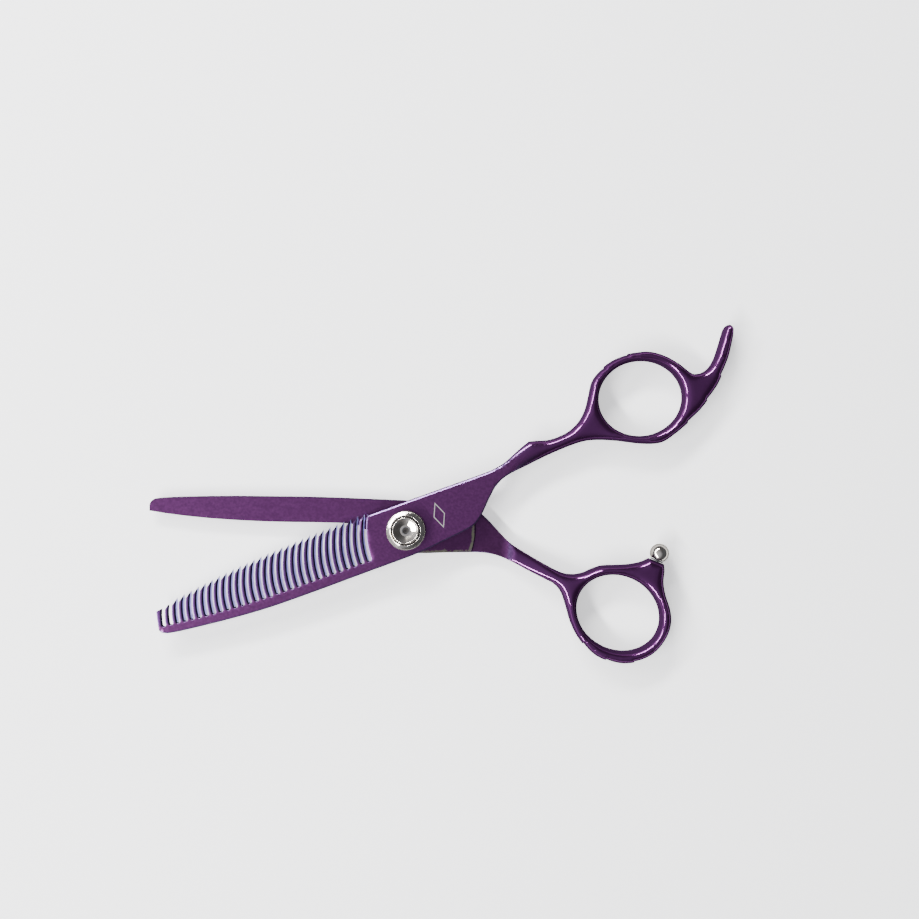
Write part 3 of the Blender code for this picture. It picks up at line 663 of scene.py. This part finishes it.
def plain_half():
    outline = plain_outline()
    x = outline.points[:, 0]
    rounded = smoothstep(*PLAIN_ROUNDED, x)
    chamfer = np.where(x < 14.0, INNER_BREAK[0], 0.25)
    edge_y = PLAIN_EDGE[2][1]

    def flat_level(places):
        """The ride and the blade's inner face, the relieved shank, and the run-out's rising floor."""
        past = np.maximum(0.0, places[:, 0] - RUNOUT_START)
        return PLAIN_FACE - ride_relief(places) + RUNOUT_BEND * past**2

    def high(places):
        index, distance = outline.nearest(places)
        cut = broken(distance, (chamfer[index], INNER_BREAK[1])) * (1 - rounded[index])
        side = SHANK_SIDE + (SIDE_TOP - SHANK_SIDE) * smoothstep(*PLAIN_SIDE_RISE, places[:, 0])
        top = SHANK_TOP + (TOP - SHANK_TOP) * smoothstep(*PLAIN_TOP_RISE, places[:, 0])
        handle = side + (top - side) * crown(distance / outline.half_width[index])
        return np.minimum(flat_level(places) - cut, handle)

    def low(places):
        index, distance = outline.nearest(places)
        slope = (PLAIN_FACE - PLAIN_TIP_THICKNESS) / (BLADE_LENGTH + TAPER_START)
        face = slope * np.maximum(0.0, TAPER_START - places[:, 0])
        grind = GRIND_LIFT * (1 - (places[:, 1] - edge_y) / GRIND_WIDTH)
        fading = smoothstep(GRIND_LIMIT, GRIND_END, places[:, 0])
        grind = np.where(places[:, 0] < GRIND_END, grind, grind * fading)
        face = np.maximum(face, grind * (places[:, 0] < GRIND_LIMIT))
        radius = radius_of(places)
        face = np.where(inside_recess(radius, HEAD_RECESS), HEAD_RECESS_DEPTH, face)
        face = face + broken(distance, UNDER_BREAK) * (radius > HEAD_CLEAR)
        face = np.minimum(face, PLAIN_FACE - EDGE_THICKNESS)
        handle = SIDE_BOTTOM * (1 - crown(distance / outline.half_width[index]))
        share = rounded[index]
        return face * (1 - share) + handle * share

    def wear(places):
        """Bare metal where the ride rubs: inside its arc and along its lower edge."""
        _, distance = outline.nearest(places)
        radius = radius_of(places)
        off_arc = np.abs(radius - RIDE_RADIUS + WORN_ARC_INSET)
        arc_wear = broken(off_arc, (WORN_ARC, 1.0)) * (places[:, 0] > 0)
        below = (places[:, 1] < 0) & (places[:, 0] > 2.0) & (radius < RIDE_RADIUS)
        return np.maximum(arc_wear, broken(distance, (WORN_EDGE, 1.0)) * below)

    steps = (-1.3, -0.9, -0.6, -WORN_ARC_INSET, -0.15, 0.0, RIDE_WALL, 0.55)
    arcs = [circle(RIDE_RADIUS + step, 0.25) for step in steps]
    extra = [*map(circle, HEAD_RECESS), *arcs, patch((24.0, -9.0), (33.0, 2.0), 0.3)]
    extra.append(patch((2.0, -6.0), (18.0, -3.6), 0.3))
    points = fill_points(outline, chamfer, rounded, within(outline, np.vstack(extra), 0.12))

    def shaded(places):
        """Round the pivot, where the other half shades this one."""
        return smoothstep(-14.0, 2.0, places[:, 0]) * (1 - smoothstep(24.5, 28.0, places[:, 0]))

    marks = {
        "gloss": lambda places: smoothstep(*PLAIN_GLOSS, places[:, 0]),
        "wear": wear,
        "shaded": shaded,
    }
    return solid("blade_half", outline, points, high, low, PLAIN_TURN, marks)


# Turned pieces ----------------------------------------------------------------------------------


def lathe(name, profile, steps, shape=None):
    """A closed turned mesh about Z. The profile of (radius, z) in mm runs once round the section."""
    profile = np.array(profile, float)
    angle = 2 * math.pi * np.arange(steps) / steps
    radius = np.repeat(profile[:, :1], steps, axis=1)
    if shape:
        radius = shape(radius, angle)
    on_axis = profile[:, 0] < 1e-6
    vertices, index = [], np.zeros((len(profile), steps), int)
    for i, level in enumerate(profile[:, 1]):
        if on_axis[i]:
            index[i] = len(vertices)
            vertices.append((0.0, 0.0, level))
            continue
        index[i] = len(vertices) + np.arange(steps)
        x, y = radius[i] * np.cos(angle), radius[i] * np.sin(angle)
        vertices += np.column_stack([x, y, np.full(steps, level)]).tolist()
    faces = []
    rings = len(profile)
    spans = rings - 1 if on_axis[0] and on_axis[-1] else rings
    for i in range(spans):
        j = (i + 1) % rings
        for k in range(steps):
            n = (k + 1) % steps
            corners = (index[i, k], index[j, k], index[j, n], index[i, n])
            face = list(dict.fromkeys(int(v) for v in corners))
            if len(face) > 2:
                faces.append(face)
    mesh = bpy.data.meshes.new(name)
    mesh.from_pydata((np.array(vertices) * MM).tolist(), [], faces)
    mesh.shade_smooth()
    mesh.set_sharp_from_angle(angle=LATHE_SMOOTH_ANGLE)
    obj = bpy.data.objects.new(name, mesh)
    bpy.context.scene.collection.objects.link(obj)
    return obj


def arc(centre, radius, start, end, steps):
    """Points of (radius, z) on an arc, from start to end degrees."""
    a = np.radians(np.linspace(start, end, steps + 1))
    return [(centre[0] + radius * math.cos(t), centre[1] + radius * math.sin(t)) for t in a]


def knurled(radius, angle):
    """Shallow flutes on the flank, which fade out over the cone above it."""
    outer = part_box("tension_dial")[1].x / MM
    wave = 0.5 - 0.5 * np.cos(KNURL_COUNT * angle)
    depth = KNURL_DEPTH * smoothstep(outer - 0.6, outer - 0.08, radius)
    return radius - depth * (1 - wave) ** 2


def dial():
    low, top = height_of("tension_dial", 0), height_of("tension_dial", 1)
    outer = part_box("tension_dial")[1].x / MM - SKIN
    radii = np.linspace(BEVEL_START, outer - 0.05, 6)
    bevel = [(r, top - 0.016 - BEVEL_SLOPE * (r - BEVEL_FROM)) for r in radii]
    lip = arc((DIAL_SEAT + DIAL_LIP, top - DIAL_LIP), DIAL_LIP, 160, 60, 4)
    room, ceiling = DIAL_ROOM[0], low + DIAL_ROOM[1]
    profile = [
        (DIAL_SEAT, top - DIAL_LIP), *lip, *bevel,
        (outer, bevel[-1][1] - 0.06), (outer, low + 0.75), (outer, low + 0.35), (outer - 0.22, low),
        (room, low), (room, ceiling), (DIAL_BORE, ceiling), (DIAL_BORE, low + DIAL_SEAT_FLOOR),
        (DIAL_SEAT, low + DIAL_SEAT_FLOOR),
    ]
    return lathe("dial_body", profile, KNURL_COUNT * 6, knurled)


def cap():
    low, top = height_of("dial_cap", 0), height_of("dial_cap", 1)
    hole, edge = DISH_RADII[0], DISH_RADII[-1]
    dish = [(r, top - 0.15 - DISH_SLOPE * (edge - r)) for r in DISH_RADII]
    rim = arc((CAP_RIM, top - CAP_ROUND), CAP_ROUND, 150, 0, 12)[:-1]
    upper, lower = CAP_SIDE
    profile = [(hole, low), *dish, *rim, (upper, top - 0.6), (lower, low + 0.1), (lower, low)]
    return lathe("dial_insert", profile[::-1], 160)


def bumper():
    (start_x, start_y), (end_x, end_y) = PLAIN_SEAT
    seat = Vector(((start_x + end_x) / 2, (start_y + end_y) / 2, MIDDLE))
    across = math.atan2(start_y - end_y, start_x - end_x)
    place = (
        Matrix.Rotation(PLAIN_TURN, 4, "Z")
        @ Matrix.Translation(seat * MM)
        @ Matrix.Rotation(across + math.pi / 2, 4, "Z")
        @ Matrix.Rotation(math.pi / 2, 4, "Y")
    )
    hole, hole_end = STUD_HOLE
    ball = arc((0.0, BALL_CENTRE), BALL_RADIUS, 90, -42, 26)
    ball[0] = (0.0, ball[0][1])
    ball += [BALL_FOOT, (hole, BALL_FOOT[1]), (hole, hole_end), (0.0, hole_end)]
    head = lathe("bumper_ball", ball, 72)
    ring_low = RING_CENTRE[1] - RING_THICKNESS / 2
    ring_high = RING_CENTRE[1] + RING_THICKNESS / 2
    ring = [(hole, ring_high), *arc(RING_CENTRE, RING_ROUND, 90, -90, 6), (hole, ring_low)]
    washer = lathe("bumper_ring", ring, 56)
    for piece in (head, washer):
        piece.data.transform(place)
    return head, washer


# Materials --------------------------------------------------------------------------------------


class Graph:
    """A small helper for node materials."""

    def __init__(self, name, **sockets):
        self.material = bpy.data.materials.new(name)
        self.material.use_nodes = True
        self.tree = self.material.node_tree
        self.shader = self.tree.nodes["Principled BSDF"]
        for socket, value in sockets.items():
            self.shader.inputs[socket.replace("_", " ")].default_value = value

    def node(self, kind, settings=None, **inputs):
        made = self.tree.nodes.new(kind)
        for key, value in (settings or {}).items():
            setattr(made, key, value)
        for key, value in inputs.items():
            socket = made.inputs[int(key[1:]) if key[0] == "i" and key[1:].isdigit() else key]
            self.feed(value, socket)
        return made

    def feed(self, value, socket):
        if isinstance(value, bpy.types.NodeSocket):
            self.tree.links.new(value, socket)
        else:
            socket.default_value = value

    def place(self):
        return self.node("ShaderNodeTexCoord").outputs["Object"]

    def noise(self, scale, detail=3.0, stretch_by=(1.0, 1.0, 1.0), rough=0.5):
        mapped = self.node("ShaderNodeMapping", Vector=self.place(), Scale=stretch_by)
        made = self.node(
            "ShaderNodeTexNoise", Vector=mapped.outputs["Vector"], Scale=scale, Detail=detail,
            Roughness=rough,
        )
        return made.outputs["Fac"]

    def ramp(self, value, low, high, start=0.0, end=1.0):
        settings = {"interpolation_type": "SMOOTHSTEP"}
        made = self.node("ShaderNodeMapRange", settings, Value=value)
        for name, number in zip(("From Min", "From Max", "To Min", "To Max"), (low, high, start, end)):
            made.inputs[name].default_value = number
        return made.outputs["Result"]

    def mix(self, share, first, second):
        made = self.node("ShaderNodeMix", {"data_type": "RGBA"})
        self.feed(share, made.inputs[0])
        self.feed(first, made.inputs[6])
        self.feed(second, made.inputs[7])
        return made.outputs[2]

    def maths(self, operation, first, second):
        made = self.node("ShaderNodeMath", {"operation": operation})
        self.feed(first, made.inputs[0])
        self.feed(second, made.inputs[1])
        return made.outputs[0]

    def mark(self, name):
        return self.node("ShaderNodeAttribute", {"attribute_name": name}).outputs["Fac"]

    def facing_up(self, kind):
        """1 where the surface faces up, 0 where it stands upright, -1 where it faces down."""
        normal = self.node("ShaderNodeNewGeometry").outputs[kind]
        return self.node("ShaderNodeSeparateXYZ", Vector=normal).outputs["Z"]

    def upright(self, kind):
        """1 where the surface faces up or down, 0 where it stands upright."""
        return self.maths("ABSOLUTE", self.facing_up(kind), 0.0)

    def bump(self, height, distance, strength=1.0):
        made = self.node("ShaderNodeBump", Height=height, Strength=strength, Distance=distance)
        self.set("Normal", made.outputs["Normal"])

    def set(self, socket, value):
        self.feed(value, self.shader.inputs[socket])


def etched_mark(g):
    """The line of a plain lozenge on the toothed half's face beside the dial."""
    settings = {"vector_type": "TEXTURE"}
    centre = Matrix.Rotation(TOOTHED_TURN, 4, "Z") @ Vector((*MARK_PLACE, 0.0))
    mapped = g.node(
        "ShaderNodeMapping", settings, Vector=g.place(), Location=centre * MM,
        Rotation=(0, 0, TOOTHED_TURN), Scale=(MARK_SIZE[0] * MM, MARK_SIZE[1] * MM, MM),
    )
    parts = g.node("ShaderNodeSeparateXYZ", Vector=mapped.outputs["Vector"]).outputs
    reach = g.maths("ADD", g.maths("ABSOLUTE", parts["X"], 0.0), g.maths("ABSOLUTE", parts["Y"], 0.0))
    line = g.maths("MULTIPLY", g.ramp(reach, 0.82, 0.85), g.ramp(reach, 1.0, 0.97))
    return g.maths("MULTIPLY", line, g.ramp(parts["Z"], TOP - 0.4, TOP - 0.3))


# The coating's colours. Pairs are the two ends of a fine variation.
SATIN = ((0.122, 0.034, 0.128, 1), (0.144, 0.041, 0.150, 1))
DEEP = ((0.116, 0.027, 0.126, 1), (0.137, 0.034, 0.148, 1))
SHADE = (0.022, 0.007, 0.018, 1)
# Painted shade: a darker, bluer colour for the teeth's faces.
TOOTH_FACE_SHADE = (0.045, 0.028, 0.105, 1)
# Painted highlight: a lighter lavender for the chamfers.
BEVEL_HIGHLIGHT = (0.125, 0.070, 0.180, 1)
SPECK = (0.20, 0.10, 0.22, 1)
# Painted shade: near-black colours for upright faces, the second one bluer for the teeth.
SIDE_SHADE = (0.014, 0.005, 0.018, 1)
TOOTH_SIDE_SHADE = (0.007, 0.005, 0.026, 1)
# Painted shade of the floor: a pale lavender for the lower slot walls, standing in for the shaded floor
# seen through the slots.
SLOT_FLOOR_SHADE = (0.66, 0.64, 0.98, 1)
BARE_METAL = (0.13, 0.125, 0.10, 1)
ETCHED = (0.80, 0.77, 0.72, 1)


def purple_coating():
    """A metallic purple coating: satin with a fine grain on the blades, glossy on the handles."""
    g = Graph("purple_coating", Specular_Tint=(0.2, 0.12, 0.25, 1), Coat_Roughness=0.1)
    grain = g.noise(1700.0, 4.0, rough=0.65)
    cloud = g.noise(60.0, 3.0)
    gloss = g.mark("gloss")
    # Painted highlight: faces that tilt a little, such as the blades' chamfers, are painted a lighter
    # lavender, but not on the glossy handles.
    bevel = g.ramp(g.upright("True Normal"), 0.985, 0.96)
    bevel = g.maths("MULTIPLY", bevel, g.maths("SUBTRACT", 1.0, gloss))
    satin = g.mix(g.ramp(grain, 0.35, 0.65), *SATIN)
    coat = g.mix(gloss, satin, g.mix(cloud, *DEEP))
    coat = g.mix(g.maths("MULTIPLY", g.mark("shaded"), 0.4), coat, SHADE)
    # Painted shade: the teeth get a darker, bluer coating.
    coat = g.mix(g.maths("MULTIPLY", g.mark("teeth_shade"), 0.6), coat, TOOTH_FACE_SHADE)
    coat = g.mix(bevel, coat, BEVEL_HIGHLIGHT)
    speck = g.ramp(grain, 0.66, 0.78)
    coat = g.mix(g.maths("MULTIPLY", speck, 0.3), coat, SPECK)
    # Painted shade: upright faces, such as the slot walls and the handles' edges, are painted near black
    # and made matte, bluer on the teeth.
    steep = g.ramp(g.upright("Normal"), 0.82, 0.58)
    side = g.mix(g.mark("teeth_shade"), SIDE_SHADE, TOOTH_SIDE_SHADE)
    coat = g.mix(g.maths("MULTIPLY", steep, 0.92), coat, side)
    # Painted shade of the floor: the lower parts of the flared slot walls are painted pale lavender,
    # standing in for the shaded floor seen through the slots.
    wall = g.maths("MULTIPLY", steep, g.ramp(g.mark("wall_foot"), 0.32, 0.5))
    coat = g.mix(wall, coat, SLOT_FLOOR_SHADE)
    rub = g.maths("ADD", g.noise(1000.0, 5.0, rough=0.8), g.maths("MULTIPLY", g.mark("wear"), 0.5))
    bare = g.maths("MULTIPLY", g.ramp(rub, 0.76, 0.86), g.ramp(g.facing_up("Normal"), 0.6, 0.9))
    coat = g.mix(bare, coat, BARE_METAL)
    mark = etched_mark(g)
    g.set("Base Color", g.mix(mark, coat, ETCHED))
    g.set("Metallic", g.ramp(steep, 0.0, 1.0, 0.93, 0.0))
    g.set("Specular IOR Level", g.ramp(steep, 0.0, 1.0, 0.25, 0.0))
    satin_rough = g.ramp(grain, 0.3, 0.7, 0.28, 0.36)
    rough = g.maths("SUBTRACT", satin_rough, g.maths("MULTIPLY", gloss, 0.2))
    rough = g.maths("ADD", rough, g.maths("MULTIPLY", steep, 0.4))
    g.set("Roughness", g.maths("ADD", rough, g.maths("MULTIPLY", bare, 0.12)))
    g.set("Coat Weight", g.maths("MULTIPLY", gloss, g.ramp(steep, 0.0, 0.5, 0.25, 0.0)))
    relief = g.maths("SUBTRACT", grain, g.maths("MULTIPLY", g.maths("ADD", bare, mark), 0.8))
    g.bump(relief, 0.000012, 0.5)
    return g.material


def chrome():
    g = Graph("chrome", Metallic=1.0, Specular_Tint=(0.25, 0.24, 0.23, 1))
    haze = g.noise(420.0, 3.0)
    fine = g.noise(900.0, 4.0, rough=0.6)
    plate = g.mix(g.ramp(haze, 0.35, 0.65), (0.92, 0.87, 0.78, 1), (0.62, 0.56, 0.48, 1))
    # Painted shade: the chrome's upright faces are painted dark.
    steep = g.ramp(g.upright("Normal"), 0.82, 0.64)
    g.set("Base Color", g.mix(g.maths("MULTIPLY", steep, 0.85), plate, (0.16, 0.15, 0.14, 1)))
    g.set("Roughness", g.ramp(fine, 0.3, 0.7, 0.08, 0.18))
    g.bump(fine, 0.000006, 0.4)
    return g.material


def steel(name, light, dark, rough):
    """Turned or ground steel with fine marks."""
    g = Graph(name, Metallic=1.0)
    fine = g.noise(1600.0, 3.0, (1.0, 0.08, 1.0))
    g.set("Base Color", g.mix(g.noise(120.0), light, dark))
    g.set("Roughness", g.ramp(fine, 0.3, 0.7, rough - 0.06, rough + 0.08))
    g.bump(fine, 0.000008, 0.5)
    return g.material


def plain_stuff(name, light, dark, rough):
    """Moulded plastic or rubber."""
    g = Graph(name)
    g.set("Base Color", g.mix(g.noise(200.0), light, dark))
    g.set("Roughness", g.ramp(g.noise(800.0), 0.3, 0.7, rough - 0.08, rough + 0.08))
    g.bump(g.noise(2500.0), 0.00001, 0.5)
    return g.material


# Stage ------------------------------------------------------------------------------------------


def camera():
    data = bpy.data.cameras.new("camera")
    data.sensor_width = 36.0
    data.lens = data.sensor_width * (CAMERA_HEIGHT - SEEN_LEVEL) / SEEN_WIDTH
    data.clip_start = 0.01
    obj = bpy.data.objects.new("camera", data)
    obj.location = (*CAMERA_OVER, CAMERA_HEIGHT)
    bpy.context.scene.collection.objects.link(obj)
    bpy.context.scene.camera = obj


def lamp(name, azimuth, elevation, size, power):
    """An area lamp that looks at the object from this direction, in degrees."""
    data = bpy.data.lights.new(name, "AREA")
    data.shape = "RECTANGLE"
    data.size, data.size_y = size
    data.energy = power
    obj = bpy.data.objects.new(name, data)
    turn, up = math.radians(azimuth), math.radians(elevation)
    level = LAMP_AWAY * math.cos(up)
    place = Vector((level * math.cos(turn), level * math.sin(turn), LAMP_AWAY * math.sin(up)))
    obj.location = place
    obj.rotation_euler = (-place).to_track_quat("-Z", "Y").to_euler()
    bpy.context.scene.collection.objects.link(obj)


def floor():
    mesh = bpy.data.meshes.new("floor")
    corners = [(x * FLOOR_HALF, y * FLOOR_HALF, 0) for x, y in ((-1, -1), (1, -1), (1, 1), (-1, 1))]
    mesh.from_pydata(corners, [], [(0, 1, 2, 3)])
    obj = bpy.data.objects.new("floor", mesh)
    obj.location.z = -FLOOR_DROP
    bpy.context.scene.collection.objects.link(obj)
    g = Graph("pale_floor", Roughness=0.9, Emission_Color=(1, 1, 1, 1), Emission_Strength=0.9)
    g.set("Base Color", g.mix(g.noise(8.0), (0.90, 0.90, 0.91, 1), (0.93, 0.93, 0.93, 1)))
    obj.data.materials.append(g.material)


def light():
    """Long lamps above and left of the object in a room that is bright on its left, dark on its right."""
    world = bpy.data.worlds.new("studio")
    world.use_nodes = True
    tree = world.node_tree
    background = tree.nodes["Background"]
    background.inputs["Color"].default_value = (0.86, 0.88, 1.0, 1.0)
    direction = tree.nodes.new("ShaderNodeTexCoord")
    towards = tree.nodes.new("ShaderNodeVectorMath")
    towards.operation = "DOT_PRODUCT"
    towards.inputs[1].default_value = (-0.75, -0.1, 0.65)
    tree.links.new(direction.outputs["Generated"], towards.inputs[0])
    rise = tree.nodes.new("ShaderNodeMapRange")
    rise.interpolation_type = "SMOOTHSTEP"
    for name, number in (("From Min", 0.1), ("From Max", 1.0), ("To Min", 0.1), ("To Max", 0.72)):
        rise.inputs[name].default_value = number
    tree.links.new(towards.outputs["Value"], rise.inputs["Value"])
    tree.links.new(rise.outputs["Result"], background.inputs["Strength"])
    bpy.context.scene.world = world
    lamp("key_top", 112.0, 30.0, (0.5, 0.11), 14.0)
    lamp("key_corner", 154.0, 30.0, (0.5, 0.11), 7.5)
    lamp("key_left", 214.0, 40.0, (0.85, 0.09), 18.0)


# Assembly ---------------------------------------------------------------------------------------


def dress(piece, material, body, slot_name, *nodes):
    piece.data.materials.append(material)
    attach(piece, body)
    if nodes:
        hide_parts(*nodes)


def recoat(material, *nodes):
    """Gives CAD nodes that stay their finished material."""
    for node in nodes:
        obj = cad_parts[node]
        obj.data.materials.clear()
        obj.data.materials.append(material)


def main():
    coating = purple_coating()
    bright = chrome()
    spring = steel("spring_steel", (0.46, 0.46, 0.47, 1), (0.38, 0.38, 0.40, 1), 0.32)
    polished = steel("polished_steel", (0.72, 0.71, 0.69, 1), (0.64, 0.63, 0.62, 1), 0.2)
    blackened = steel("blackened_steel", (0.20, 0.185, 0.17, 1), (0.14, 0.13, 0.12, 1), 0.4)
    bronze = steel("bronze", (0.58, 0.38, 0.17, 1), (0.48, 0.30, 0.12, 1), 0.3)
    nylon = plain_stuff("nylon", (0.80, 0.80, 0.77, 1), (0.74, 0.74, 0.71, 1), 0.5)
    rubber = plain_stuff("black_rubber", (0.010, 0.010, 0.011, 1), (0.016, 0.016, 0.016, 1), 0.6)

    camera()
    floor()
    light()
    dress(toothed_half(), coating, "finger_half", "coated_steel", "toothed_half")
    dress(plain_half(), coating, "thumb_half", "coated_steel", "plain_half")
    dress(dial(), bright, "dial", "chrome", "tension_dial")
    dress(cap(), bright, "dial", "chrome", "dial_cap")
    ball, ring = bumper()
    dress(ball, bright, "thumb_half", "chrome", "bumper_head")
    dress(ring, rubber, "thumb_half", "black_rubber", "bumper_washer")
    recoat(polished, "pivot_screw", "detent_ball")
    recoat(spring, "base_washer", "spring_washer", "click_plate", "detent_spring", "bumper_stud")
    recoat(blackened, "lock_screw")
    recoat(bronze, "pivot_bush")
    recoat(nylon, "ride_washer")


main()
